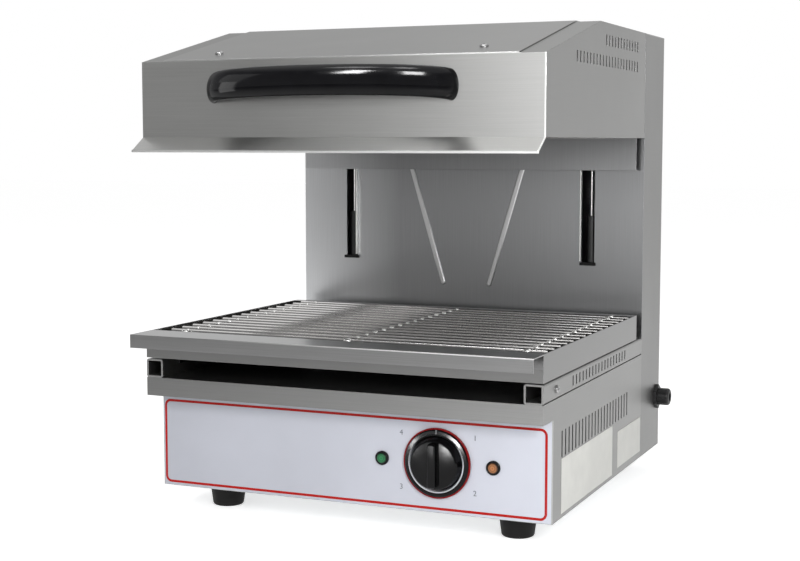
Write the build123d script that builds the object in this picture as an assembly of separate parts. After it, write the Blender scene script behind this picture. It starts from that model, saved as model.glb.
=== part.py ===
from build123d import *
import math
import os

# Electric lift salamander: a base with controls, a column at the back, and a hood with
# heating elements that rides up and down on the column above a tray and wire grid.
# Millimetres. +X is the cable gland's side, -Y is the front, and Z = 0 is the plane that the
# feet stand on. The sizes and shapes below are laid out from the middle of the body, and the
# finished pieces are then moved so that the origin is under the middle of the whole machine.

# ---- body ----
body_width = 450.0
body_depth = 470.0
overall_height = 534.0
sheet = 1.2
flange = 12.0
fit_gap = 0.3

# ---- how far a cutter runs past the face that it cuts ----
past = 1.0

# ---- screw heads, as shares of the head ----
head_chamfer_share = 0.4
cross_length_share = 0.5
cross_width_share = 0.14

# ---- feet ----
foot_height = 28.0
foot_top_dia = 42.0
foot_bottom_dia = 34.0
foot_edge_round = 3.0
foot_inset_side = 52.6
foot_inset_front = 50.0
foot_inset_back = 50.0
foot_recess_dia = 16.0
foot_recess_depth = 16.0
foot_screw_dia = 5.0
foot_screw_head_dia = 10.0
foot_screw_head_height = 3.5
foot_nut_width = 8.0
foot_nut_height = 4.0
foot_screw_stand_out = 2.0

# ---- casing under the tray ----
casing_height = 105.0
band_height = 20.0
panel_recess = 31.7
panel_flange = 10.0
label_film = 0.3
label_margin = 1.0
floor_slot_pairs = 4
floor_slot_pitch = 24.0
floor_slot_y = (-40.0, 20.0)

# ---- vent slots ----
vent_pitch = 12.0
vent_width = 4.0
casing_vent_count = 22
casing_vent_height = 27.0
casing_vent_bottom = 62.5
casing_vent_end = 64.5
rail_vent_count = 18
rail_vent_height = 10.5
rail_vent_end = 76.5
hood_vent_height = 11.5
hood_vent_lower_count = 21
hood_vent_lower_z = 76.0
hood_vent_upper_count = 12
hood_vent_upper_z = 98.5
hood_vent_end = 38.0
cover_vent_count = 15
cover_vent_height = 22.0
cover_vent_rows = 3
cover_vent_row_pitch = 36.0
cover_vent_first_z = 96.0

# ---- rails between the casing and the tray ----
rail_size = 20.0
rail_wall = 2.0
rail_corner = 2.5
rail_screw_from_front = 42.0
rail_screw_dia = 4.0
rail_screw_head_dia = 8.0
rail_screw_head_height = 2.4
rail_screw_reach = 4.0

# ---- blank labels on the right side ----
side_label_from_column = (318.0, 104.0)
side_label_length = (191.5, 102.5)
side_label_z = (4.5, 8.0)
side_label_height = (56.5, 42.0)

# ---- tray and wire grid ----
tray_height = 28.7
tray_length = 354.0
tray_lip_reach = 31.5
tray_lip_drop = 14.3
tray_rim_inside = 12.0
tray_ledge_width = 15.0
grid_stand_out = 0.4
runner_drop = 9.0
runner_wall = 2.0
runner_flange_width = 12.0
runner_flange_thickness = 1.0
runner_end_margin = 30.0
grid_bar_dia = 5.0
grid_bar_count = 15
grid_bar_pitch = 22.0
grid_first_bar = 30.0
grid_side_gap = 8.5
grid_shift = 4.5
grid_crossbar_inset = 30.0
grid_front_overhang = 7.0
grid_rear_overhang = 3.0
grid_weld_sink = 0.5
grid_crossbar_bend = 3.5

# ---- column ----
column_depth = 91.0
slot_x = 157.5
slot_width = 15.5
slot_bottom_gap = 3.0
slot_top_gap = 1.2
slot_lip_depth = 6.0
slot_buffer_width = 19.0
slot_buffer_height = 3.5
slot_buffer_depth = 4.0
bead_width = 6.0
bead_height = 1.5
bead_chamfer = 0.9
bead_bottom_x = 30.8
bead_above_tray = 28.0
bead_lean = 0.297
bead_below_top = 134.0
cover_screw_dia = 4.0
cover_screw_head_dia = 8.0
cover_screw_head_height = 2.2
cover_screw_rows = 4
cover_screw_edge = 8.0
cover_screw_from_end = 32.0

# ---- hood ----
hood_depth = 379.5
hood_height = 122.7
hood_front_height = 79.7
hood_ridge_from_column = 193.8
hood_rear_gap = 1.0
hood_flange = 32.0
hood_lip_reach = 22.3
hood_lip_drop = 14.2
hood_lip_hem = 3.0
hood_travel = 115.0
top_plate_inset = 27.0
top_screw_x = 150.0
top_screw_from_front = 34.0
top_screw_dia = 4.0
top_screw_head_dia = 9.0
top_screw_head_height = 2.5
skirt_drop = 38.3
skirt_from_column = 12.5
skirt_side_gap = 6.4
skirt_foot_depth = 5.0
reflector_depth = 30.0
reflector_wall = 1.0
wool_thickness = 20.0
wool_margin = 8.0

# ---- heating elements ----
element_dia = 8.5
element_pitch = 45.0
element_pairs = 3
element_half_length = 190.0
element_below_reflector = 16.0
element_bend_radius = 14.0
element_turn_gap = 0.05
element_riser_height = 34.0
element_hole_clearance = 0.8
element_stud_dia = 4.0
element_stud_height = 10.0
element_bush_dia = 13.0
element_bush_height = 6.0
hanger_x = 110.0
hanger_thickness = 1.5
hanger_drop = 24.0
hanger_end_margin = 14.0

# ---- handle ----
handle_x = -4.0
handle_half_length = 141.0
handle_up = 50.3
handle_height = 31.0
handle_reach = 38.0
handle_rise = 6.0
handle_thickness = 16.0
handle_end_trim = 4.0
handle_screw_dia = 4.0
handle_screw_depth = 7.0
handle_screw_head_dia = 8.0
handle_screw_head_height = 3.0

# ---- lifting gear inside the column ----
arm_thickness = 2.0
arm_height = 56.0
arm_above_skirt = 5.0
arm_tab = 20.0
carriage_from_face = 26.0
carriage_thickness = 3.0
carriage_half_width = 166.0
carriage_lug_width = 30.0
carriage_lug_reach = 36.0
carriage_shelf_reach = 21.0
guide_rod_x = 120.0
guide_rod_dia = 12.0
guide_rod_from_face = 51.0
guide_clearance = 0.05
bush_wall = 4.0
bush_stand_out = 2.0
rod_bracket_drop = 63.0
rod_bracket_below_top = 29.0
rod_bracket_thickness = 4.0
rod_bracket_front = 40.0
spring_x = 158.8
spring_from_face = 10.7
spring_tube_dia = 12.0
spring_tube_wall = 1.0
spring_tube_gap = 1.0
spring_tube_length = 176.0
spring_rod_dia = 4.0
spring_piston_height = 8.0
spring_piston_gap = 2.0
spring_cap_height = 4.0
anchor_thickness = 4.0
anchor_depth = 22.0

# ---- controls ----
knob_x = 102.7
control_z = 52.3
green_lamp_x = 40.8
amber_lamp_x = 163.1
knob_skirt_dia = 70.0
knob_skirt_height = 4.0
knob_skirt_chamfer = 1.0
knob_ring_dia = 73.0
knob_ring_height = 2.5
knob_dome_dia = 58.0
knob_face_dia = 50.0
knob_dome_height = 8.0
knob_face_round = 2.5
knob_face_skin = 1.0
knob_bar_width = 9.0
knob_bar_length = 46.0
knob_bar_height = 7.0
knob_bar_sink = 1.0
knob_bar_round = 3.0
knob_bar_edge_round = 2.0
knob_gap = 1.0
knob_hollow_dia = 26.0
knob_hollow_depth = 6.0
knob_mark_width = 1.2
knob_mark_length = 5.0
knob_mark_depth = 0.4
shaft_dia = 6.0
shaft_length = 34.0
shaft_clearance = 0.05
shaft_end_gap = 1.0
regulator_width = 45.0
regulator_depth = 34.0
regulator_chamfer = 2.0
bushing_dia = 10.0
bushing_reach = 4.5
bushing_clearance = 0.3
regulator_nut_width = 14.0
regulator_nut_height = 3.0
lamp_lens_dia = 11.0
lamp_bezel_dia = 15.0
lamp_bezel_height = 2.5
lamp_bezel_round = 1.0
lamp_lens_height = 3.5
lamp_lens_round = 1.5
lamp_body_dia = 12.0
lamp_body_depth = 24.0
lamp_collar_dia = 16.0
lamp_collar_height = 3.0

# ---- supply ----
gland_from_back = 15.5
gland_z = 63.0
gland_thread_dia = 16.0
gland_hex = 26.0
gland_hex_height = 4.0
gland_dome_dia = 21.0
gland_dome_height = 14.0
gland_dome_round = 3.0
gland_groove_count = 12
gland_groove_width = 1.6
gland_groove_depth = 0.8
gland_seal_sink = 1.0
gland_bore_dia = 11.0
gland_seal_bore_dia = 8.0
gland_inside = 10.0
gland_nut_width = 22.0
gland_nut_height = 5.0
terminal_length = 60.0
terminal_depth = 24.0
terminal_height = 26.0
terminal_ways = 3
terminal_hole_dia = 6.0
terminal_x = 98.0
terminal_from_back = 55.0
harness_dia = 8.0
harness_height = 12.0
harness_bend = 18.0

# ---- places worked out from the sizes ----
half_width = body_width / 2
inner_half = half_width - sheet
front_y = -body_depth / 2
back_y = body_depth / 2
column_y = back_y - column_depth
panel_y = front_y + panel_recess
casing_z = foot_height
panel_top_z = casing_z + casing_height
band_top_z = panel_top_z + band_height
rail_top_z = band_top_z + rail_size
tray_z = rail_top_z + fit_gap + runner_flange_thickness
tray_top_z = tray_z + tray_height
tray_back_y = front_y + tray_length
ledge_top_z = tray_top_z + grid_stand_out - grid_bar_dia
grid_bar_z = ledge_top_z + grid_bar_dia / 2
bead_bottom_z = tray_top_z + bead_above_tray
bead_top_z = overall_height - bead_below_top
hood_bottom = overall_height - hood_height
hood_front_y = column_y - hood_depth
hood_rear_y = column_y - hood_rear_gap
hood_front_top = hood_bottom + hood_front_height
hood_ridge_y = column_y - hood_ridge_from_column
hood_top_z = overall_height
handle_z = hood_bottom + handle_up
skirt_bottom = hood_bottom - skirt_drop
skirt_y = column_y - skirt_from_column
reflector_top_z = hood_bottom + reflector_depth
element_z = reflector_top_z - element_below_reflector
arm_z = skirt_bottom + arm_above_skirt
carriage_y = column_y + carriage_from_face
guide_y = column_y + guide_rod_from_face
spring_y = column_y + spring_from_face
slot_bottom = arm_z - hood_travel - slot_bottom_gap
slot_top = arm_z + arm_height + slot_top_gap
spring_tube_top = arm_z + arm_height - hood_travel - spring_tube_gap
rod_bracket_bottom = arm_z - hood_travel - rod_bracket_drop
rod_bracket_top = overall_height - rod_bracket_below_top
knob_z = casing_z + control_z
label_y = panel_y - label_film
knob_back_y = label_y - knob_gap
overall_x = (-half_width - rail_screw_head_height, half_width + gland_hex_height + gland_dome_height)
overall_y = (hood_front_y - handle_reach, back_y + cover_screw_head_height)
foot_places = [
    (side * (half_width - foot_inset_side), y)
    for y in (panel_y + foot_inset_front, back_y - foot_inset_back)
    for side in (-1, 1)
]


def block(x0, x1, y0, y1, z0, z1):
    """Box between two corners."""
    return Pos((x0 + x1) / 2, (y0 + y1) / 2, (z0 + z1) / 2) * Box(abs(x1 - x0), abs(y1 - y0), abs(z1 - z0))


def post(x, y, z0, z1, radius):
    """Upright round bar."""
    return Pos(x, y, (z0 + z1) / 2) * Cylinder(radius, abs(z1 - z0))


def bar_x(x0, x1, y, z, radius):
    """Round bar along X."""
    return Pos((x0 + x1) / 2, y, z) * Rot(0, 90, 0) * Cylinder(radius, abs(x1 - x0))


def bar_y(x, y0, y1, z, radius):
    """Round bar along Y."""
    return Pos(x, (y0 + y1) / 2, z) * Rot(90, 0, 0) * Cylinder(radius, abs(y1 - y0))


def side_profile(points, x0, x1):
    """Solid with a (y, z) outline, drawn out from x0 to x1."""
    face = make_face(Polyline([(x0, y, z) for y, z in points], close=True))
    return extrude(face, amount=abs(x1 - x0), dir=(1 if x1 > x0 else -1, 0, 0))


def hexagon(across, height):
    """Upright hexagon prism with the given width across flats."""
    return extrude(RegularPolygon(across / math.sqrt(3), 6), height)


def vent_row(count, last_y, z0, height, x0, x1):
    """Row of upright slots that ends at last_y and runs towards the front."""
    slots = [
        block(x0, x1, last_y - i * vent_pitch - vent_width / 2, last_y - i * vent_pitch + vent_width / 2,
              z0, z0 + height)
        for i in range(count)
    ]
    return Compound(slots)


def mirror_x(shape):
    """The same piece on the other side of the body."""
    return mirror(shape, about=Plane.YZ)


def pan_screw(thread_dia, length, head_dia, head_height):
    """Round-headed screw along +Z, head under Z = 0 with a cross recess."""
    head = Pos(0, 0, -head_height / 2) * Cylinder(head_dia / 2, head_height)
    head = chamfer(head.faces().sort_by(Axis.Z)[0].edges(), head_height * head_chamfer_share)
    long, short = head_dia * cross_length_share, head_dia * cross_width_share
    recess = Box(long, short, head_height) + Box(short, long, head_height)
    head -= Pos(0, 0, -head_height) * recess
    return head + Pos(0, 0, length / 2) * Cylinder(thread_dia / 2, length)


# ---- base: casing ----

def side_panel():
    """Right casing side: a stepped sheet with vent slots and inward flanges."""
    outline = [
        (panel_y + sheet, casing_z), (column_y + sheet, casing_z), (column_y + sheet, band_top_z),
        (front_y + sheet, band_top_z), (front_y + sheet, panel_top_z), (panel_y + sheet, panel_top_z),
    ]
    wall = side_profile(outline, inner_half, half_width)
    bottom_z = casing_z + sheet
    wall += block(inner_half - flange, inner_half, panel_y + panel_flange + 2 * sheet, column_y,
                  bottom_z, bottom_z + sheet)
    wall += block(inner_half - flange, inner_half, panel_y + 2 * sheet, column_y,
                  band_top_z - 2 * sheet, band_top_z - sheet)
    return wall - vent_row(casing_vent_count, column_y - casing_vent_end, casing_z + casing_vent_bottom,
                           casing_vent_height, inner_half - past, half_width + past)


def base_floor():
    """Bottom plate between the sides, holed for the feet and slotted for air."""
    plate = block(-inner_half, inner_half, panel_y + sheet, back_y - sheet, casing_z, casing_z + sheet)
    for x, y in foot_places:
        plate -= post(x, y, casing_z - past, casing_z + 2 * sheet, foot_screw_dia / 2 + fit_gap)
    for i in range(-floor_slot_pairs, floor_slot_pairs + 1):
        x = i * floor_slot_pitch
        plate -= block(x - vent_width / 2, x + vent_width / 2, floor_slot_y[0], floor_slot_y[1],
                       casing_z - past, casing_z + 2 * sheet)
    return plate


def control_holes(clearance):
    """Cutters for the regulator bushing and the two lamps."""
    y0, y1 = label_y - past, panel_y + sheet + past
    cutters = bar_y(knob_x, y0, y1, knob_z, bushing_dia / 2 + clearance)
    for x in (green_lamp_x, amber_lamp_x):
        cutters += bar_y(x, y0, y1, knob_z, lamp_body_dia / 2 + clearance)
    return cutters


def control_panel():
    """Recessed front sheet with top and bottom return flanges."""
    panel = block(-half_width, half_width, panel_y, panel_y + sheet, casing_z, panel_top_z)
    for z0 in (casing_z + sheet, panel_top_z - sheet):
        panel += block(-inner_half + flange, inner_half - flange, panel_y + sheet,
                       panel_y + sheet + panel_flange, z0, z0 + sheet)
    return panel - control_holes(bushing_clearance)


def control_label():
    """Printed film over the control panel."""
    film = block(-half_width + label_margin, half_width - label_margin, label_y, panel_y,
                 casing_z + label_margin / 2, panel_top_z - label_margin / 2)
    return film - control_holes(bushing_clearance)


def deck_plate():
    """Top of the casing, folded down at the front as a band and back under it."""
    plate = block(-inner_half, inner_half, front_y + sheet, column_y + sheet,
                  band_top_z - sheet, band_top_z)
    plate += block(-half_width, half_width, front_y, front_y + sheet, panel_top_z, band_top_z)
    plate += block(-inner_half, inner_half, front_y + sheet, panel_y + panel_flange,
                   panel_top_z, panel_top_z + sheet)
    return plate


def rail():
    """Right rail: a square tube, open at both ends, with vents in its outer wall."""
    y0, y1 = front_y, column_y
    x0 = half_width - rail_size
    tube = block(x0, half_width, y0, y1, band_top_z, rail_top_z)
    tube = fillet(tube.edges().filter_by(Axis.Y), rail_corner)
    bore = block(x0 + rail_wall, half_width - rail_wall, y0 - past, y1 + past, band_top_z + rail_wall,
                 rail_top_z - rail_wall)
    tube -= fillet(bore.edges().filter_by(Axis.Y), rail_corner - rail_wall)
    tube -= vent_row(rail_vent_count, column_y - rail_vent_end,
                     band_top_z + (rail_size - rail_vent_height) / 2, rail_vent_height,
                     half_width - rail_wall - past, half_width + past)
    tube -= bar_x(half_width - rail_wall - past, half_width + past, front_y + rail_screw_from_front,
                  band_top_z + rail_size / 2, rail_screw_dia / 2)
    return tube


def rail_screw():
    """Right rail's side screw."""
    screw = pan_screw(rail_screw_dia, rail_wall + rail_screw_reach, rail_screw_head_dia,
                      rail_screw_head_height)
    place = Pos(half_width, front_y + rail_screw_from_front, band_top_z + rail_size / 2)
    return place * Rot(0, -90, 0) * screw


def side_label(index):
    """Blank plate on the right casing side."""
    y0 = column_y - side_label_from_column[index]
    z0 = casing_z + side_label_z[index]
    return block(half_width, half_width + label_film, y0, y0 + side_label_length[index],
                 z0, z0 + side_label_height[index])


# ---- base: feet ----

def rubber_foot(x, y):
    """Tapered foot with a recess for its screw."""
    foot = loft([
        Pos(x, y, 0) * Circle(foot_bottom_dia / 2),
        Pos(x, y, foot_height) * Circle(foot_top_dia / 2),
    ])
    foot = fillet(foot.faces().sort_by(Axis.Z)[0].edges(), foot_edge_round)
    foot -= post(x, y, -past, foot_recess_depth, foot_recess_dia / 2)
    return foot - post(x, y, foot_recess_depth - past, foot_height + past, foot_screw_dia / 2)


def foot_screw(x, y):
    """Screw from the foot's recess up through the floor."""
    length = foot_height - foot_recess_depth + sheet + foot_nut_height + foot_screw_stand_out
    screw = pan_screw(foot_screw_dia, length, foot_screw_head_dia, foot_screw_head_height)
    return Pos(x, y, foot_recess_depth) * screw


def foot_nut(x, y):
    """Hexagon nut on the floor plate."""
    nut = hexagon(foot_nut_width, foot_nut_height) - Cylinder(foot_screw_dia / 2, 3 * foot_nut_height)
    return Pos(x, y, casing_z + sheet) * nut


# ---- base: column ----

def back_panel():
    """Front sheet of the column, with two lift slots and two pressed beads."""
    top_z = overall_height - sheet
    panel = block(-half_width, half_width, column_y, column_y + sheet, band_top_z, top_z)
    for side in (-1, 1):
        panel -= block(side * slot_x - slot_width / 2, side * slot_x + slot_width / 2,
                       column_y - past, column_y + 2 * sheet, slot_bottom, slot_top)
        lip_x = side * (slot_x - slot_width / 2)
        panel += block(lip_x - side * sheet, lip_x, column_y - slot_lip_depth, column_y,
                       slot_bottom + slot_buffer_height, bead_top_z)
        bottom = Vector(side * bead_bottom_x, column_y, bead_bottom_z)
        bead_top_x = bead_bottom_x + bead_lean * (bead_top_z - bead_bottom_z)
        top = Vector(side * bead_top_x, column_y, bead_top_z)
        panel += bead(bottom, top)
    return panel


def bead(bottom, top):
    """Straight pressed rib with round ends, standing forward of the sheet."""
    run = top - bottom
    outline = SlotCenterToCenter(run.length, bead_width)
    plane = Plane(origin=(bottom + top) / 2, x_dir=run.normalized(), z_dir=(0, -1, 0))
    rib = extrude(plane * outline, bead_height)
    return chamfer(rib.faces().sort_by(Axis.Y)[0].edges(), bead_chamfer)


def slot_buffer(side):
    """Rubber stop across the bottom of a lift slot."""
    x = side * slot_x
    stop = block(x - slot_buffer_width / 2, x + slot_buffer_width / 2,
                 column_y - slot_buffer_depth, column_y,
                 slot_bottom - slot_buffer_height / 2, slot_bottom + slot_buffer_height / 2)
    return stop + block(x - slot_width / 2, x + slot_width / 2, column_y, column_y + sheet,
                        slot_bottom, slot_bottom + slot_buffer_height / 2)


def column_side():
    """Right side sheet of the column with inward flanges."""
    y0, y1 = column_y + sheet, back_y - sheet
    top_z = overall_height - sheet
    wall = block(inner_half, half_width, y0, y1, casing_z, top_z)
    low_z = band_top_z + sheet
    wall += block(inner_half - flange, inner_half, y0, y0 + sheet, low_z, top_z)
    wall += block(inner_half - flange, inner_half, y1 - sheet, y1, casing_z + sheet, top_z)
    return wall


def gland_hole():
    """Cutter for the cable gland's thread."""
    return bar_x(inner_half - past, half_width + past, back_y - gland_from_back, casing_z + gland_z,
                 gland_thread_dia / 2 + fit_gap)


def rear_cover():
    """Back sheet of the column with rows of vents and screw holes."""
    cover = block(-half_width, half_width, back_y - sheet, back_y, casing_z, overall_height - sheet)
    for row in range(cover_vent_rows):
        z0 = casing_z + cover_vent_first_z + row * cover_vent_row_pitch
        for i in range(cover_vent_count):
            x = (i - (cover_vent_count - 1) / 2) * vent_pitch
            for z in (z0, overall_height - cover_vent_row_pitch * (row + 1)):
                cover -= block(x - vent_width / 2, x + vent_width / 2, back_y - 2 * sheet, back_y + past,
                               z, z + cover_vent_height)
    for x, z in cover_screw_places():
        cover -= bar_y(x, back_y - 2 * sheet, back_y + past, z, cover_screw_dia / 2)
    return cover


def cover_screw_places():
    """Screw positions down both edges of the rear cover."""
    z0 = casing_z + cover_screw_from_end
    step = (overall_height - casing_z - 2 * cover_screw_from_end) / (cover_screw_rows - 1)
    return [(side * (half_width - cover_screw_edge), z0 + i * step)
            for side in (-1, 1) for i in range(cover_screw_rows)]


def cover_screw(x, z):
    """Rear cover screw, its end in the side flange."""
    screw = pan_screw(cover_screw_dia, sheet, cover_screw_head_dia, cover_screw_head_height)
    return Pos(x, back_y, z) * Rot(90, 0, 0) * screw


def column_cap():
    """Top sheet of the column."""
    return block(-half_width, half_width, column_y, back_y, overall_height - sheet, overall_height)


def guide_rods():
    """Two upright rods that the carriage slides on."""
    return [post(side * guide_rod_x, guide_y, rod_bracket_bottom, rod_bracket_top + rod_bracket_thickness,
                 guide_rod_dia / 2) for side in (-1, 1)]


def rod_brackets():
    """Cross plates between the column sides, bored for the guide rods."""
    plates = []
    for z in (rod_bracket_bottom, rod_bracket_top):
        plate = block(-inner_half, inner_half, column_y + rod_bracket_front, back_y - 2 * sheet,
                      z, z + rod_bracket_thickness)
        for side in (-1, 1):
            plate -= post(side * guide_rod_x, guide_y, z - past, z + rod_bracket_thickness + past,
                          guide_rod_dia / 2)
        plates.append(plate)
    return plates


def gas_spring_tube(side):
    """Closed tube of a gas spring with a bored top cap."""
    z1 = spring_tube_top
    z0 = z1 - spring_tube_length
    x, y = side * spring_x, spring_y
    tube = post(x, y, z0, z1, spring_tube_dia / 2)
    tube -= post(x, y, z0 + spring_cap_height, z1 - spring_cap_height,
                 spring_tube_dia / 2 - spring_tube_wall)
    return tube - post(x, y, z1 - 2 * spring_cap_height, z1 + past, spring_rod_dia / 2 + guide_clearance)


def spring_anchor():
    """Angle bar across the column that the gas springs stand on."""
    z1 = spring_tube_top - spring_tube_length
    bar = block(-inner_half, inner_half, column_y + sheet, column_y + sheet + anchor_depth,
                z1 - anchor_thickness, z1)
    return bar + block(-inner_half, inner_half, column_y + sheet + anchor_depth - anchor_thickness,
                       column_y + sheet + anchor_depth, z1 - anchor_depth, z1 - anchor_thickness)


# ---- base: controls ----

def energy_regulator():
    """Control block with a bored bushing that comes through the panel."""
    y0 = panel_y + sheet
    body = block(knob_x - regulator_width / 2, knob_x + regulator_width / 2, y0, y0 + regulator_depth,
                 knob_z - regulator_width / 2, knob_z + regulator_width / 2)
    body = chamfer(body.edges().filter_by(Axis.Y), regulator_chamfer)
    body += bar_y(knob_x, label_y - bushing_reach, y0, knob_z, bushing_dia / 2)
    return body - bar_y(knob_x, label_y - bushing_reach - past,
                        knob_back_y - knob_hollow_depth + shaft_length, knob_z,
                        shaft_dia / 2 + shaft_clearance)


def regulator_nut():
    """Hexagon nut on the bushing, in front of the label."""
    nut = hexagon(regulator_nut_width, regulator_nut_height)
    nut -= Cylinder(bushing_dia / 2, 3 * regulator_nut_height)
    return Pos(knob_x, label_y, knob_z) * Rot(90, 0, 0) * nut


def lamp_body(x):
    """Barrel of an indicator lamp, with a collar that snaps behind the panel."""
    y0 = panel_y + sheet
    barrel = bar_y(x, label_y, panel_y + lamp_body_depth, knob_z, lamp_body_dia / 2)
    return barrel + bar_y(x, y0, y0 + lamp_collar_height, knob_z, lamp_collar_dia / 2)


def lamp_bezel(x):
    """Round rim in front of the label."""
    rim = bar_y(x, label_y - lamp_bezel_height, label_y, knob_z, lamp_bezel_dia / 2)
    rim = fillet(rim.faces().sort_by(Axis.Y)[0].edges(), lamp_bezel_round)
    return rim - bar_y(x, label_y - 2 * lamp_bezel_height, label_y + past, knob_z, lamp_lens_dia / 2)


def lamp_lens(x):
    """Domed lens inside the bezel."""
    lens = bar_y(x, label_y - lamp_lens_height, label_y, knob_z, lamp_lens_dia / 2)
    return fillet(lens.faces().sort_by(Axis.Y)[0].edges(), lamp_lens_round)


# ---- base: supply ----

def gland_body():
    """Threaded gland body with its hexagon outside the column side."""
    x, y, z = half_width, back_y - gland_from_back, casing_z + gland_z
    body = Pos(x, y, z) * Rot(0, 90, 0) * hexagon(gland_hex, gland_hex_height)
    body += bar_x(x - sheet - gland_inside, x, y, z, gland_thread_dia / 2)
    return body - bar_x(x - sheet - gland_inside - past, x + gland_hex_height + past, y, z,
                        gland_bore_dia / 2)


def gland_dome_nut():
    """Outer nut that squeezes the seal, grooved for grip."""
    x0 = half_width + gland_hex_height
    y, z = back_y - gland_from_back, casing_z + gland_z
    nut = bar_x(x0, x0 + gland_dome_height, y, z, gland_dome_dia / 2)
    nut = fillet(nut.faces().sort_by(Axis.X)[-1].edges(), gland_dome_round)
    groove = Pos(0, 0, gland_dome_dia / 2) * Box(2 * gland_dome_height, gland_groove_width,
                                                 2 * gland_groove_depth)
    for i in range(gland_groove_count):
        nut -= Pos(x0 + gland_dome_height, y, z) * Rot(i * 360 / gland_groove_count, 0, 0) * groove
    return nut - bar_x(x0 - past, x0 + gland_dome_height + past, y, z, gland_bore_dia / 2)


def gland_seal():
    """Rubber sleeve in the gland, bored for the cord."""
    x0 = half_width + gland_hex_height
    y, z = back_y - gland_from_back, casing_z + gland_z
    x1 = x0 + gland_dome_height - gland_seal_sink
    sleeve = bar_x(x0 - gland_hex_height, x1, y, z, gland_bore_dia / 2)
    return sleeve - bar_x(x0 - gland_hex_height - past, x1 + past, y, z, gland_seal_bore_dia / 2)


def gland_lock_nut():
    """Hexagon nut inside the column side."""
    nut = hexagon(gland_nut_width, gland_nut_height) - Cylinder(gland_thread_dia / 2, 3 * gland_nut_height)
    return Pos(inner_half, back_y - gland_from_back, casing_z + gland_z) * Rot(0, -90, 0) * nut


def terminal_block():
    """Moulded block for the supply leads on the floor plate."""
    z0 = casing_z + sheet
    y0 = back_y - terminal_from_back
    body = block(terminal_x, terminal_x + terminal_length, y0, y0 + terminal_depth,
                 z0, z0 + terminal_height)
    pitch = terminal_length / terminal_ways
    for i in range(terminal_ways):
        body -= post(terminal_x + (i + 0.5) * pitch, y0 + terminal_depth / 2, z0 + terminal_height / 2,
                     z0 + terminal_height + past, terminal_hole_dia / 2)
    return body


def supply_harness():
    """Sleeved leads from the terminal block to the regulator."""
    z = casing_z + sheet + harness_height
    y_block = back_y - terminal_from_back + terminal_depth / 2
    y_end = panel_y + sheet + regulator_depth
    x_run = terminal_x - 2.5 * harness_bend
    path = FilletPolyline([
        (terminal_x, y_block, z), (x_run, y_block, z), (x_run, y_end + 4 * harness_bend, z),
        (knob_x, y_end + 2 * harness_bend, knob_z), (knob_x, y_end, knob_z),
    ], radius=harness_bend)
    section = Plane(origin=(terminal_x, y_block, z), z_dir=(-1, 0, 0)) * Circle(harness_dia / 2)
    return sweep(section, path=path)


# ---- knob ----

def control_knob():
    """Skirted knob with a raised grip bar."""
    y0 = knob_back_y
    knob = Cylinder(knob_skirt_dia / 2, knob_skirt_height, align=(Align.CENTER, Align.CENTER, Align.MIN))
    knob = chamfer(knob.faces().sort_by(Axis.Z)[-1].edges(), knob_skirt_chamfer)
    dome = loft([
        Pos(0, 0, knob_skirt_height) * Circle(knob_dome_dia / 2),
        Pos(0, 0, knob_skirt_height + knob_dome_height) * Circle(knob_face_dia / 2),
    ])
    dome = fillet(dome.faces().sort_by(Axis.Z)[-1].edges(), knob_face_round)
    z_face = knob_skirt_height + knob_dome_height
    bar_middle = z_face + (knob_bar_height - knob_bar_sink) / 2
    grip = Pos(0, 0, bar_middle) * Box(knob_bar_width, knob_bar_length, knob_bar_height + knob_bar_sink)
    grip = fillet(grip.edges().filter_by(Axis.Z), knob_bar_round)
    grip = fillet(grip.faces().sort_by(Axis.Z)[-1].edges(), knob_bar_edge_round)
    knob = knob + dome + grip
    knob -= Cylinder(knob_hollow_dia / 2, 2 * knob_hollow_depth)
    knob -= Cylinder(shaft_dia / 2, 2 * (knob_skirt_height + knob_dome_height - knob_face_skin))
    mark_y = (knob_skirt_dia + knob_dome_dia) / 4
    knob -= Pos(0, mark_y, knob_skirt_height) * Box(knob_mark_width, knob_mark_length, 2 * knob_mark_depth)
    return Pos(knob_x, y0, knob_z) * Rot(90, 0, 0) * knob


def knob_mark():
    """Pointer inlay in the knob's skirt."""
    mark_y = (knob_skirt_dia + knob_dome_dia) / 4
    inlay = Pos(0, mark_y, knob_skirt_height - knob_mark_depth / 2) * Box(knob_mark_width, knob_mark_length,
                                                                        knob_mark_depth)
    return Pos(knob_x, knob_back_y, knob_z) * Rot(90, 0, 0) * inlay


def knob_ring():
    """Coloured ring round the knob's skirt."""
    y0 = knob_back_y - knob_ring_height
    ring = bar_y(knob_x, y0, knob_back_y, knob_z, knob_ring_dia / 2)
    return ring - bar_y(knob_x, y0 - past, knob_back_y + past, knob_z, knob_skirt_dia / 2)


def regulator_shaft():
    """Spindle that the knob is pushed onto."""
    y0 = knob_back_y - knob_skirt_height - knob_dome_height + knob_face_skin
    y1 = knob_back_y - knob_hollow_depth + shaft_length - shaft_end_gap
    return bar_y(knob_x, y0, y1, knob_z, shaft_dia / 2)


# ---- tray and grid ----

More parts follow.
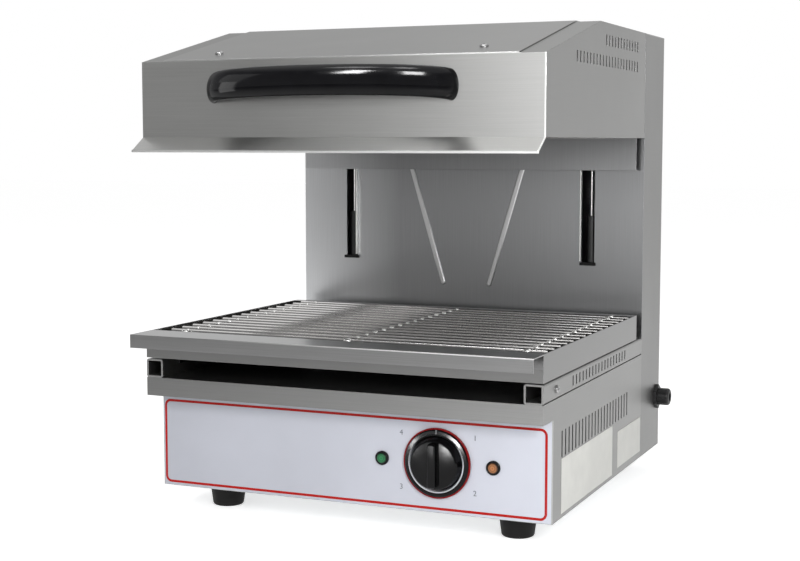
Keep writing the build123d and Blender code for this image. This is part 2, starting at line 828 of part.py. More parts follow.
def drip_tray():
    """Shallow pan with a front lip, side ledges for the grid and a rear rim."""
    t = sheet
    tray = block(-half_width, half_width, front_y, tray_back_y, tray_z, tray_z + t)
    for side in (-1, 1):
        tray += block(side * inner_half, side * half_width, front_y, tray_back_y, tray_z + t, tray_top_z)
        tray += block(side * (inner_half - tray_ledge_width), side * inner_half,
                      front_y + t, tray_back_y - t, ledge_top_z - t, ledge_top_z)
    tray += block(-inner_half, inner_half, front_y, front_y + t, tray_z + t, tray_top_z - t)
    tray += block(-inner_half, inner_half, tray_back_y - t, tray_back_y, tray_z + t, tray_top_z - t)
    lip_y = front_y - tray_lip_reach
    tray += block(-half_width, half_width, lip_y, front_y, tray_top_z - t, tray_top_z)
    tray += block(-inner_half, inner_half, front_y, front_y + tray_rim_inside, tray_top_z - t, tray_top_z)
    tray += block(-inner_half, inner_half, tray_back_y - tray_rim_inside, tray_back_y,
                  tray_top_z - t, tray_top_z)
    tray += block(-half_width, half_width, lip_y, lip_y + t, tray_top_z - tray_lip_drop, tray_top_z - t)
    return tray


def tray_runner():
    """Right angle strip under the tray: it slides on the rail and is guided by its inner side."""
    x1 = half_width - rail_size - 2 * fit_gap
    y0, y1 = front_y + runner_end_margin, tray_back_y - runner_end_margin
    runner = block(x1 - runner_wall, x1, y0, y1, tray_z - runner_drop, tray_z)
    return runner + block(x1, x1 + runner_flange_width, y0, y1, tray_z - runner_flange_thickness, tray_z)


def wire_grid():
    """Welded grid: bars from side to side on three crossbars with upturned front ends."""
    r = grid_bar_dia / 2
    half = half_width - sheet - grid_side_gap
    first_y = front_y + grid_first_bar
    cross_z = grid_bar_z - grid_bar_dia + grid_weld_sink
    y0 = first_y - grid_front_overhang
    y1 = first_y + (grid_bar_count - 1) * grid_bar_pitch + grid_rear_overhang
    bars = [bar_x(grid_shift - half, grid_shift + half, first_y + i * grid_bar_pitch, grid_bar_z, r)
            for i in range(grid_bar_count)]
    for x in (-half_width + grid_crossbar_inset, 0, half_width - grid_crossbar_inset):
        x += grid_shift
        wire = FilletPolyline([(x, y1, cross_z), (x, y0, cross_z), (x, y0, grid_bar_z + r)],
                              radius=grid_crossbar_bend)
        bars.append(sweep(Plane(origin=(x, y1, cross_z), z_dir=(0, -1, 0)) * Circle(r), path=wire))
    return bars[0].fuse(*bars[1:])


# ---- hood ----

def hood_outline(inset, rear_y):
    """(y, z) points along the hood's front edge, slope and flat top, moved inwards by inset."""
    slope = math.atan2(hood_top_z - hood_front_top, hood_ridge_y - hood_front_y)
    drop = inset / math.cos(slope)
    ridge_shift = inset * math.tan(slope / 2)
    return [
        (hood_front_y, hood_front_top - drop),
        (hood_ridge_y + ridge_shift, hood_top_z - inset),
        (rear_y, hood_top_z - inset),
    ]


def slope_angle():
    """Angle of the hood's sloping top in degrees."""
    return math.degrees(math.atan2(hood_top_z - hood_front_top, hood_ridge_y - hood_front_y))


def hood_side():
    """Right hood side with vents and an inward flange along its top."""
    top = hood_outline(0, hood_rear_y)
    under = hood_outline(sheet, hood_rear_y)
    y0 = hood_front_y + sheet
    slope = math.tan(math.radians(slope_angle()))
    outline = [(y0, hood_bottom), (y0, hood_front_top + sheet * slope), top[1], top[2],
               (hood_rear_y, hood_bottom)]
    wall = side_profile(outline, inner_half, half_width)
    strip = [(y0, top[0][1] + sheet * slope), top[1], top[2], under[2], under[1],
             (y0, under[0][1] + sheet * slope)]
    wall += side_profile(strip, inner_half - hood_flange, inner_half)
    wall -= vent_row(hood_vent_lower_count, column_y - hood_vent_end, hood_bottom + hood_vent_lower_z,
                     hood_vent_height, inner_half - past, half_width + past)
    wall -= vent_row(hood_vent_upper_count, column_y - hood_vent_end, hood_bottom + hood_vent_upper_z,
                     hood_vent_height, inner_half - past, half_width + past)
    return wall


def hood_front():
    """Hood front with a top flange under the top plate and a flared lip at the bottom."""
    y0, y1 = hood_front_y, hood_front_y + sheet
    slope = math.tan(math.radians(slope_angle()))
    drop = sheet / math.cos(math.radians(slope_angle()))
    wall = side_profile([(y0, hood_bottom), (y0, hood_front_top), (y1, hood_front_top + sheet * slope),
                         (y1, hood_bottom)], -half_width, half_width)
    y2 = y1 + hood_flange
    z1 = hood_front_top + sheet * slope
    z2 = hood_front_top + (y2 - y0) * slope
    inside = inner_half - hood_flange
    wall += side_profile([(y1, z1), (y2, z2), (y2, z2 - drop), (y1, z1 - drop)], -inside, inside)
    lip_y, lip_z = y0 - hood_lip_reach, hood_bottom - hood_lip_drop
    lip_thick = sheet / math.cos(math.atan2(hood_lip_drop, hood_lip_reach))
    wall += side_profile([(y1, hood_bottom), (y0, hood_bottom), (lip_y, lip_z), (lip_y, lip_z - lip_thick),
                          (y1, hood_bottom - lip_thick + sheet * hood_lip_drop / hood_lip_reach)],
                         -half_width, half_width)
    hem_z = lip_z - lip_thick / 2 + hood_lip_hem / 4
    wall += bar_x(-half_width, half_width, lip_y + hood_lip_hem / 2, hem_z, hood_lip_hem / 2)
    for x in handle_screw_places():
        wall -= bar_y(x, y0 - past, y1 + past, handle_z, handle_screw_dia / 2)
    return wall


def hood_top():
    """Top plate over the slope and the flat, laid on the flanges, flush with the hood's front."""
    lower = hood_outline(0, hood_rear_y)
    upper = hood_outline(-sheet, hood_rear_y)
    points = [lower[0], lower[1], lower[2], upper[2], upper[1], upper[0]]
    plate = side_profile(points, -half_width + top_plate_inset, half_width - top_plate_inset)
    for side in (-1, 1):
        plate -= top_screw_frame(side) * Cylinder(top_screw_dia / 2, 6 * sheet)
    return plate


def top_screw_frame(side):
    """Place of a top screw's seat, its Z axis square to the slope."""
    y = hood_front_y + top_screw_from_front
    slope = math.radians(slope_angle())
    z = hood_front_top + (y - hood_front_y) * math.tan(slope) + sheet / math.cos(slope)
    return Pos(side * top_screw_x, y, z) * Rot(slope_angle(), 0, 0)


def top_screw(side):
    """Domed screw in the top plate."""
    screw = pan_screw(top_screw_dia, sheet, top_screw_head_dia, top_screw_head_height)
    return top_screw_frame(side) * Rot(180, 0, 0) * screw


def rear_skirt():
    """Rear wall of the hood, hanging below it and folded back at its foot."""
    half = half_width - skirt_side_gap
    top_z = hood_top_z - 2 * sheet
    wall = block(-half, half, skirt_y, skirt_y + sheet, skirt_bottom, top_z)
    wall += block(-half, half, skirt_y + sheet, skirt_y + skirt_foot_depth,
                  skirt_bottom, skirt_bottom + sheet)
    for side in (-1, 1):
        x0, x1 = side * half, side * inner_half
        wall += block(x0, x1, skirt_y, skirt_y + sheet, hood_bottom, top_z - hood_flange)
    return wall


def element_rows():
    """Y positions of the two legs of each heating element."""
    middle = (hood_front_y + skirt_y) / 2
    first = middle - (2 * element_pairs - 1) / 2 * element_pitch
    fronts = [first + 2 * i * element_pitch for i in range(element_pairs)]
    return [(y, y + element_pitch) for y in fronts]


def reflector():
    """Inverted pan above the elements, holed for their risers."""
    t = reflector_wall
    y0, y1 = hood_front_y + sheet, skirt_y
    pan = block(-inner_half, inner_half, y0, y1, hood_bottom, reflector_top_z)
    pan -= block(-inner_half + t, inner_half - t, y0 + t, y1 - t, hood_bottom - past, reflector_top_z - t)
    for legs in element_rows():
        for y in legs:
            pan -= post(-element_half_length, y, reflector_top_z - 2 * t, reflector_top_z + past,
                        element_dia / 2 + element_hole_clearance)
    return pan


def insulation():
    """Blanket of ceramic wool on the reflector."""
    m = wool_margin
    wool = block(-inner_half + m, inner_half - m, hood_front_y + sheet + m, skirt_y - m,
                 reflector_top_z, reflector_top_z + wool_thickness)
    for legs in element_rows():
        for y in legs:
            wool -= post(-element_half_length, y, reflector_top_z - past,
                         reflector_top_z + wool_thickness + past, element_bush_dia / 2)
    return wool


def heating_element(legs):
    """Sheathed element: down through the reflector, along, round a half turn and back up."""
    y0, y1 = legs
    x0 = -element_half_length
    z1 = reflector_top_z + element_riser_height
    turn = element_pitch / 2 - element_turn_gap
    path = FilletPolyline(
        [(x0, y0, z1), (x0, y0, element_z), (element_half_length, y0, element_z),
         (element_half_length, y1, element_z), (x0, y1, element_z), (x0, y1, z1)],
        radius=(element_bend_radius, turn, turn, element_bend_radius),
    )
    return sweep(Plane(origin=(x0, y0, z1), z_dir=(0, 0, -1)) * Circle(element_dia / 2), path=path)


def element_bush(y):
    """Ceramic collar round an element's end."""
    z1 = reflector_top_z + element_riser_height
    ring = post(-element_half_length, y, z1 - element_bush_height, z1, element_bush_dia / 2)
    return ring - post(-element_half_length, y, z1 - 2 * element_bush_height, z1 + past, element_dia / 2)


def element_stud(y):
    """Threaded terminal pin on an element's end."""
    z1 = reflector_top_z + element_riser_height
    return post(-element_half_length, y, z1, z1 + element_stud_height, element_stud_dia / 2)


def element_hanger(x):
    """Upright strip under the reflector, bored for the element legs."""
    y0 = hood_front_y + sheet + hanger_end_margin
    y1 = skirt_y - hanger_end_margin
    z1 = reflector_top_z - reflector_wall
    strip = block(x - hanger_thickness / 2, x + hanger_thickness / 2, y0, y1, z1 - hanger_drop, z1)
    strip += block(x, x + flange, y0, y1, z1 - hanger_thickness, z1)
    for legs in element_rows():
        for y in legs:
            strip -= bar_x(x - 2 * hanger_thickness, x + 2 * hanger_thickness, y, element_z,
                           element_dia / 2 + fit_gap)
    return strip


# ---- handle ----

def handle_screw_places():
    """X positions of the handle's two screws, in the middle of its ends."""
    inset = handle_half_length - handle_thickness / 2
    return (handle_x - inset, handle_x + inset)


def bow_handle():
    """Bowed grip of oval section, rising a little towards its middle, cut flush with the hood front."""
    x0, x1 = handle_screw_places()
    y0 = hood_front_y + handle_end_trim
    tilt = math.atan2(handle_rise, handle_reach + handle_end_trim - handle_thickness / 2)
    half_section = math.hypot(handle_thickness / 2 * math.cos(tilt), handle_height / 2 * math.sin(tilt))
    bow_depth = handle_reach + handle_end_trim - half_section
    control_y, control_z = y0 - bow_depth * 4 / 3, handle_z + handle_rise * 4 / 3
    bow_line = Bezier((x0, y0, handle_z), (x0, control_y, control_z), (x1, control_y, control_z),
                      (x1, y0, handle_z))
    end = Plane(origin=(x0, y0, handle_z), x_dir=(1, 0, 0), z_dir=bow_line % 0)
    section = end * Ellipse(handle_thickness / 2, handle_height / 2)
    bow = sweep(section, path=bow_line, is_frenet=True)
    bow -= block(x0 - handle_height, x1 + handle_height, hood_front_y, y0 + handle_height,
                 handle_z - handle_height, handle_z + handle_height)
    for x in (x0, x1):
        bow -= bar_y(x, hood_front_y - handle_screw_depth, hood_front_y + past, handle_z,
                     handle_screw_dia / 2)
    return bow


def handle_screw(x):
    """Screw from inside the hood into a handle foot."""
    screw = pan_screw(handle_screw_dia, sheet + handle_screw_depth, handle_screw_head_dia,
                      handle_screw_head_height)
    return Pos(x, hood_front_y + sheet, handle_z) * Rot(90, 0, 0) * screw


# ---- lifting gear ----

def lift_arm(side):
    """Plate through a lift slot, tabbed to the rear skirt and to the carriage."""
    x0 = side * (slot_x - slot_width / 2 + 2 * fit_gap)
    x1 = x0 + side * arm_thickness
    y0, y1 = skirt_y + sheet, carriage_y
    z0, z1 = arm_z, arm_z + arm_height
    arm = block(x0, x1, y0, y1, z0, z1)
    arm += block(x0 - side * arm_tab, x0, y0, y0 + arm_thickness, z0, z1)
    arm += block(x0 - side * arm_tab, x0, y1 - arm_thickness, y1, z0, z1)
    return arm


def lift_carriage():
    """Cross plate behind the slots with bored lugs for the bushes and a shelf for the gas springs."""
    z0, z1 = arm_z, arm_z + arm_height
    y0, y1 = carriage_y, carriage_y + carriage_thickness
    half = carriage_half_width
    plate = block(-half, half, y0, y1, z0, z1 + carriage_thickness)
    plate += block(-half, half, y0 - carriage_shelf_reach, y0, z1, z1 + carriage_thickness)
    for side in (-1, 1):
        x = side * guide_rod_x
        plate += block(x - carriage_lug_width / 2, x + carriage_lug_width / 2,
                       y1, y1 + carriage_lug_reach, z0, z1)
        plate -= post(x, guide_y, z0 - past, z1 + past, guide_rod_dia / 2 + guide_clearance + bush_wall)
    return plate


def slide_bush(side):
    """Plain bush in a carriage lug."""
    x = side * guide_rod_x
    z0, z1 = arm_z - bush_stand_out, arm_z + arm_height + bush_stand_out
    sleeve = post(x, guide_y, z0, z1, guide_rod_dia / 2 + guide_clearance + bush_wall)
    return sleeve - post(x, guide_y, z0 - past, z1 + past, guide_rod_dia / 2 + guide_clearance)


def gas_spring_rod(side):
    """Piston rod from the carriage shelf into the gas spring's tube."""
    x, y = side * spring_x, spring_y
    top_z = arm_z + arm_height
    piston_z = spring_tube_top - spring_cap_height - spring_piston_height - spring_piston_gap
    rod = post(x, y, piston_z, top_z, spring_rod_dia / 2)
    return rod + post(x, y, piston_z, piston_z + spring_piston_height,
                      spring_tube_dia / 2 - spring_tube_wall - guide_clearance)


def build():
    """All pieces by name."""
    right_side = side_panel()
    right_column = column_side()
    right_rail = rail()
    right_screw = rail_screw()
    right_hood = hood_side()
    right_runner = tray_runner()
    lamps = (green_lamp_x, amber_lamp_x)
    element_ends = [y for legs in element_rows() for y in legs]
    return {
        "left_side_panel": mirror_x(right_side),
        "right_side_panel": right_side,
        "base_floor": base_floor(),
        "control_panel": control_panel(),
        "control_label": control_label(),
        "deck_plate": deck_plate(),
        "left_rail": mirror_x(right_rail),
        "right_rail": right_rail,
        "rail_screws": [right_screw, mirror_x(right_screw)],
        "side_labels": [side_label(0), side_label(1)],
        "rubber_feet": [rubber_foot(x, y) for x, y in foot_places],
        "foot_screws": [foot_screw(x, y) for x, y in foot_places],
        "foot_nuts": [foot_nut(x, y) for x, y in foot_places],
        "back_panel": back_panel(),
        "slot_buffers": [slot_buffer(side) for side in (-1, 1)],
        "column_left_side": mirror_x(right_column),
        "column_right_side": right_column - gland_hole(),
        "rear_cover": rear_cover(),
        "rear_cover_screws": [cover_screw(x, z) for x, z in cover_screw_places()],
        "column_cap": column_cap(),
        "guide_rods": guide_rods(),
        "rod_brackets": rod_brackets(),
        "gas_spring_tubes": [gas_spring_tube(side) for side in (-1, 1)],
        "spring_anchor": spring_anchor(),
        "energy_regulator": energy_regulator(),
        "regulator_nut": regulator_nut(),
        "lamp_bodies": [lamp_body(x) for x in lamps],
        "lamp_bezels": [lamp_bezel(x) for x in lamps],
        "green_lens": lamp_lens(green_lamp_x),
        "amber_lens": lamp_lens(amber_lamp_x),
        "gland_body": gland_body(),
        "gland_dome_nut": gland_dome_nut(),
        "gland_seal": gland_seal(),
        "gland_lock_nut": gland_lock_nut(),
        "terminal_block": terminal_block(),
        "supply_harness": supply_harness(),
        "control_knob": control_knob(),
        "knob_mark": knob_mark(),
        "knob_ring": knob_ring(),
        "regulator_shaft": regulator_shaft(),
        "drip_tray": drip_tray(),
        "tray_runners": [right_runner, mirror_x(right_runner)],
        "wire_grid": wire_grid(),
        "hood_left_side": mirror_x(right_hood),
        "hood_right_side": right_hood,
        "hood_front": hood_front(),
        "hood_top": hood_top(),
        "hood_top_screws": [top_screw(side) for side in (-1, 1)],
        "rear_skirt": rear_skirt(),
        "reflector": reflector(),
        "insulation": insulation(),
        "heating_elements": [heating_element(legs) for legs in element_rows()],
        "element_ends": [element_bush(y) for y in element_ends] + [element_stud(y) for y in element_ends],
        "element_hangers": [element_hanger(side * hanger_x) for side in (-1, 1)],
        "bow_handle": bow_handle(),
        "handle_screws": [handle_screw(x) for x in handle_screw_places()],
        "lift_arms": [lift_arm(side) for side in (-1, 1)],
        "lift_carriage": lift_carriage(),
        "slide_bushes": [slide_bush(side) for side in (-1, 1)],
        "gas_spring_rods": [gas_spring_rod(side) for side in (-1, 1)],
    }


os.makedirs("parts", exist_ok=True)
under_the_middle = Pos(-sum(overall_x) / 2, -sum(overall_y) / 2, 0)
for name, shape in build().items():
    if isinstance(shape, list):
        shape = Compound([solid for piece in shape for solid in piece.solids()])
    export_step(under_the_middle * shape, f"parts/{name}.step")
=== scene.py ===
import math

import bmesh
import bpy
from mathutils import Matrix, Vector


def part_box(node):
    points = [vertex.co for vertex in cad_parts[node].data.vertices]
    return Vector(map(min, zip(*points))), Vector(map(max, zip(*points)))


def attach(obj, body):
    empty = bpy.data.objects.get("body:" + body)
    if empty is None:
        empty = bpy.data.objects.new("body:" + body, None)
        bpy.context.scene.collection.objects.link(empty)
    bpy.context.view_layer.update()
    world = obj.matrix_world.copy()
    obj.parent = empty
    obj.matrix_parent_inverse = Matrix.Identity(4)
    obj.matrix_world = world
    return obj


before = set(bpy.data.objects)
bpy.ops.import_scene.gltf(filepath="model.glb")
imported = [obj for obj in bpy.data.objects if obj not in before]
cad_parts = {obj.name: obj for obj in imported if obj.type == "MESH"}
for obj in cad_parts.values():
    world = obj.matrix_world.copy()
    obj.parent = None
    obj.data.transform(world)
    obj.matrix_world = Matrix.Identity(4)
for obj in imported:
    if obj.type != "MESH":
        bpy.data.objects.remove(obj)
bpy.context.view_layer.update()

# Looks of the lift salamander. Metres, in the frame of the solids: the origin is under the
# middle of the machine, -Y is the front, Z = 0 is the plane under the feet.

# ---- camera ----
camera_place = (0.6506, -1.5614, 0.4047)
camera_azimuth = 23.482
camera_elevation = 5.292
camera_lens = 66.4
sensor_width = 36.0

# ---- colours, linear ----
# the steel colours are one stainless steel, set lighter or darker face by face as painted light and
# shade
steel_light = (0.29, 0.29, 0.286)
steel_front = (0.41, 0.41, 0.403)
steel_side = (0.262, 0.262, 0.258)
steel_back = (0.33, 0.333, 0.338)
steel_skirt = (0.30, 0.302, 0.306)
steel_column = (0.215, 0.215, 0.212)
steel_band = (0.23, 0.23, 0.227)
steel_tray = (0.28, 0.28, 0.28)
# painted shade inside the tray's pan, under the grid
pan_shade = (0.075, 0.073, 0.070)
# painted shade on the tray's right side and on the wall under its lip
tray_side_shade = (0.185, 0.185, 0.183)
tray_wall_shade = (0.215, 0.215, 0.213)
# painted highlights on the back panel's slot lips and pressed beads
lip_highlight = (0.90, 0.90, 0.88)
bead_highlight = (0.60, 0.60, 0.60)
# painted highlights along the folds and edges of the tray, the hood and its top
fold_highlight = (0.85, 0.85, 0.84)
fold_soft_highlight = (0.52, 0.52, 0.515)
# painted reflection on the knob's bead, bright below and dark above
rim_highlight = (0.60, 0.61, 0.65)
rim_shade = (0.03, 0.03, 0.03)
steel_wire = (0.68, 0.67, 0.66)
weld_highlight = (0.92, 0.92, 0.90)
steel_screw = (0.42, 0.42, 0.42)
zinc_grey = (0.36, 0.38, 0.39)
sheath_brown = (0.10, 0.09, 0.085)
black_rubber = (0.004, 0.004, 0.004)
black_plastic = (0.003, 0.003, 0.0035)
film_white = (0.51, 0.524, 0.585)
film_red = (0.40, 0.010, 0.008)
ring_red = (0.21, 0.003, 0.004)
print_grey = (0.10, 0.11, 0.13)
plate_cream = (0.72, 0.72, 0.685)
lamp_green = (0.006, 0.125, 0.038)
lamp_amber = (0.27, 0.105, 0.034)
mark_grey = (0.22, 0.22, 0.23)
ceramic_white = (0.72, 0.70, 0.64)
wool_white = (0.70, 0.69, 0.64)
brass_yellow = (0.60, 0.42, 0.16)

# ---- places taken from the solids ----
ring_low, ring_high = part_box("knob_ring")
knob_x = (ring_low[0] + ring_high[0]) / 2
knob_z = (ring_low[2] + ring_high[2]) / 2
label_low, label_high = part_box("control_label")
label_y = label_low[1]
label_middle = ((label_low[0] + label_high[0]) / 2, (label_low[2] + label_high[2]) / 2)
label_half = ((label_high[0] - label_low[0]) / 2, (label_high[2] - label_low[2]) / 2)
grid_low, grid_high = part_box("wire_grid")
grid_middle_x = (grid_low[0] + grid_high[0]) / 2
tray_low, tray_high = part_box("drip_tray")
hood_low, hood_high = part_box("hood_front")
top_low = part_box("hood_top")[0]
handle_low, handle_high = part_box("bow_handle")
mark_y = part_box("knob_mark")[0][1]

# ---- the grid's sizes ----
grid_bar_radius = 0.0025
grid_bar_count = 15
grid_bar_pitch = 0.022
grid_front_overhang = 0.007
grid_crossbar_spread = 0.195

# ---- grain of the finishes: scales in cycles per metre, depths and rounded edges in metres ----
noise_middle = (0.3, 0.7)
brush_along = 12.0
brush_across = 1400.0
brush_depth = 0.000004
sheet_edge = 0.0006
smear_scale = 5.0
streak_share = 0.35
stain_scale = 70.0
scratch_scale = 900.0
scratch_depth = 0.000003
wire_edge = 0.0004
wire_scale = (6.0, 40.0, 40.0)
patch_scale = 35.0
moulded_edge = 0.0008
ripple_scale = 600.0
ripple_depth = 0.00005
lens_edge = 0.0005
dapple_scale = 9.0
film_scale = 2500.0
film_depth = 0.00001
film_edge = 0.0003
wool_scale = (260.0, 260.0, 700.0)
wool_depth = 0.0006
wool_edge = 0.002
pan_scale = 22.0

# ---- where a sheet with painted sheen has its own colour, as a share of its width ----
plain_from_left = 0.30

# ---- the lenses: rings of painted light and shade as (share of the radius, shade) ----
painted_lens_rings = ((0.05, 0.9), (0.30, 1.7), (0.50, 0.7), (0.68, 1.2), (0.92, 0.20))

# ---- the label: painted light growing from its left to its right, and its red line ----
film_painted_light = (0.86, 1.11)
film_specular = 0.5
red_specular = 0.12
line_shift = 0.0015
line_corner = 0.006
line_inset = 0.004
line_width = 0.0027
line_top_drop = 0.0055

# ---- the knob's bead: its sizes, and where its painted reflection fades, as shares of its height ----
rim_radius = 0.0296
rim_thickness = 0.0009
rim_turns = 96
rim_sides = 10
rim_fade = (0.45, 0.85)

# ---- where painted shade and painted highlights go on the tray, the hood and the back panel ----
margin = 0.001
pan_wall = 0.0006
pan_rim = 0.0016
pan_from_lip = 0.0322
wall_below_rim = 0.0150
fold_width = 0.0012
fold_reach = 0.14
hem_reach = 0.006
hem_height = 0.0022
top_edge = 0.0013
wall_from_lip = 0.0238
slot_lip_painted_highlight = (0.0040, lip_highlight, 0.55)
bead_painted_highlight = (0.0056, bead_highlight, 0.30)


# ---- material helpers ----

def add(tree, kind, **settings):
    """New shader node with the given settings."""
    node = tree.nodes.new(kind)
    for key, value in settings.items():
        setattr(node, key, value)
    return node


def start_material(name, colour, roughness, metallic=0.0):
    """Principled material: (material, tree, shader)."""
    material = bpy.data.materials.new(name)
    material.use_nodes = True
    tree = material.node_tree
    shader = tree.nodes["Principled BSDF"]
    shader.inputs["Base Color"].default_value = (*colour, 1)
    shader.inputs["Roughness"].default_value = roughness
    shader.inputs["Metallic"].default_value = metallic
    return material, tree, shader


def map_range(tree, value, start, end, low=0.0, high=1.0):
    """Value from start to end mapped to low to high."""
    node = add(tree, "ShaderNodeMapRange")
    node.inputs["From Min"].default_value = start
    node.inputs["From Max"].default_value = end
    node.inputs["To Min"].default_value = low
    node.inputs["To Max"].default_value = high
    tree.links.new(value, node.inputs["Value"])
    return node.outputs["Result"]


def axis_value(tree, axis):
    """One coordinate of the object's own space."""
    place = add(tree, "ShaderNodeTexCoord")
    split = add(tree, "ShaderNodeSeparateXYZ")
    tree.links.new(place.outputs["Object"], split.inputs["Vector"])
    return split.outputs[axis]


def math_node(tree, operation, *values):
    """Math node on sockets and numbers."""
    node = add(tree, "ShaderNodeMath", operation=operation)
    for socket, value in zip(node.inputs, values):
        if isinstance(value, (int, float)):
            socket.default_value = value
        else:
            tree.links.new(value, socket)
    return node.outputs["Value"]


def mix_colour(tree, factor, first, second):
    """First colour where the factor is 0 and second where it is 1; each is a socket or a triple."""
    paint = add(tree, "ShaderNodeMix", data_type="RGBA")
    for key, value in (("A", first), ("B", second)):
        if isinstance(value, tuple):
            paint.inputs[key].default_value = (*value, 1)
        else:
            tree.links.new(value, paint.inputs[key])
    tree.links.new(factor, paint.inputs["Factor"])
    return paint.outputs["Result"]


def multiply_colours(tree, first, second):
    """Product of two colours."""
    node = add(tree, "ShaderNodeMix", data_type="RGBA", blend_type="MULTIPLY")
    node.inputs["Factor"].default_value = 1.0
    tree.links.new(first, node.inputs["A"])
    tree.links.new(second, node.inputs["B"])
    return node.outputs["Result"]


def grey(tree, value):
    """Colour with one value in all three channels."""
    node = add(tree, "ShaderNodeCombineColor")
    for channel in ("Red", "Green", "Blue"):
        tree.links.new(value, node.inputs[channel])
    return node.outputs["Color"]


def length(tree, first, second):
    """Length of a flat vector with these two parts."""
    squares = [math_node(tree, "MULTIPLY", part, part) for part in (first, second)]
    return math_node(tree, "SQRT", math_node(tree, "ADD", *squares))


def inside_box(tree, low, high):
    """1 inside a box of the object's space, 0 outside."""
    inside = 1.0
    for axis, start, end in zip("XYZ", low, high):
        place = axis_value(tree, axis)
        above = math_node(tree, "GREATER_THAN", place, start)
        below = math_node(tree, "LESS_THAN", place, end)
        inside = math_node(tree, "MULTIPLY", math_node(tree, "MULTIPLY", above, below), inside)
    return inside


def noise(tree, scale, detail=3.0, roughness=0.55):
    """Noise over the object's own coordinates, its scale given once or per axis."""
    place = add(tree, "ShaderNodeTexCoord")
    mapping = add(tree, "ShaderNodeMapping")
    mapping.inputs["Scale"].default_value = scale if isinstance(scale, tuple) else (scale,) * 3
    texture = add(tree, "ShaderNodeTexNoise")
    texture.inputs["Scale"].default_value = 1.0
    texture.inputs["Detail"].default_value = detail
    texture.inputs["Roughness"].default_value = roughness
    tree.links.new(place.outputs["Object"], mapping.inputs["Vector"])
    tree.links.new(mapping.outputs["Vector"], texture.inputs["Vector"])
    return texture.outputs["Fac"]


def spread(tree, source, low, high):
    """The middle of a 0 to 1 noise stretched over low to high."""
    return map_range(tree, source, *noise_middle, low, high)


def shades(tree, source, colour, low, high):
    """Colour times low where the noise is dark, and times high where it is light."""
    node = add(tree, "ShaderNodeValToRGB")
    first, last = node.color_ramp.elements
    first.position, last.position = noise_middle
    first.color = (*(min(1, low * c) for c in colour), 1)
    last.color = (*(min(1, high * c) for c in colour), 1)
    tree.links.new(source, node.inputs["Fac"])
    return node.outputs["Color"]


def soft_normal(tree, shader, height, distance, edge):
    """Bump from a height on top of edges rounded by the given radius."""
    rounded = add(tree, "ShaderNodeBevel", samples=4)
    rounded.inputs["Radius"].default_value = edge
    bump = add(tree, "ShaderNodeBump")
    bump.inputs["Strength"].default_value = 1.0
    bump.inputs["Distance"].default_value = distance
    tree.links.new(height, bump.inputs["Height"])
    tree.links.new(rounded.outputs["Normal"], bump.inputs["Normal"])
    tree.links.new(bump.outputs["Normal"], shader.inputs["Normal"])


def feed(tree, shader, colour, roughness=None):
    """Links a colour, and a roughness where there is one, to the shader."""
    tree.links.new(colour, shader.inputs["Base Color"])
    if roughness is not None:
        tree.links.new(roughness, shader.inputs["Roughness"])


# ---- kinds of finish ----

def brush_scale(grain):
    """Noise scale that draws streaks along one axis."""
    return tuple(brush_along if axis == grain else brush_across for axis in "XYZ")


def brushed_steel(name, colour, roughness, grain):
    """Sheet steel: streaks along the grain axis, faint smears and wear."""
    material, tree, shader = start_material(name, colour, roughness, metallic=1.0)
    streaks = noise(tree, brush_scale(grain), detail=2.0)
    smears = noise(tree, smear_scale, detail=4.0, roughness=0.6)
    mixed = math_node(tree, "MULTIPLY_ADD", streaks, streak_share,
                      math_node(tree, "MULTIPLY", smears, 1.0 - streak_share))
    feed(tree, shader, shades(tree, mixed, colour, 0.95, 1.05),
         spread(tree, smears, roughness - 0.03, roughness + 0.04))
    soft_normal(tree, shader, streaks, brush_depth, sheet_edge)
    return material


def bright_metal(name, colour, roughness, low=0.85, high=1.08):
    """Plated or polished wire, rods and screws with small stains."""
    material, tree, shader = start_material(name, colour, roughness, metallic=1.0)
    stains = noise(tree, stain_scale, detail=4.0)
    scratches = noise(tree, scratch_scale, detail=2.0)
    feed(tree, shader, shades(tree, stains, colour, low, high),
         spread(tree, stains, roughness - 0.04, roughness + 0.10))
    soft_normal(tree, shader, scratches, scratch_depth, wire_edge)
    return material


def drawn_wire(name, colour, roughness):
    """Plated wire, smooth along its length, with slow changes of tone."""
    material, tree, shader = start_material(name, colour, roughness, metallic=1.0)
    tone = noise(tree, wire_scale, detail=2.0)
    feed(tree, shader, shades(tree, tone, colour, 0.88, 1.04),
         spread(tree, tone, roughness - 0.03, roughness + 0.03))
    return material


def moulded(name, colour, roughness, grain=1500.0, depth=0.00002, low=0.8, high=1.3,
            specular=0.5):
    """Moulded plastic or rubber with a fine grain and uneven sheen."""
    material, tree, shader = start_material(name, colour, roughness)
    shader.inputs["Specular IOR Level"].default_value = specular
    texture = noise(tree, grain, detail=2.0)
    patches = noise(tree, patch_scale, detail=3.0)
    feed(tree, shader, shades(tree, patches, colour, low, high),
         spread(tree, patches, max(0.03, roughness - 0.05), roughness + 0.06))
    soft_normal(tree, shader, texture, depth, moulded_edge)
    return material


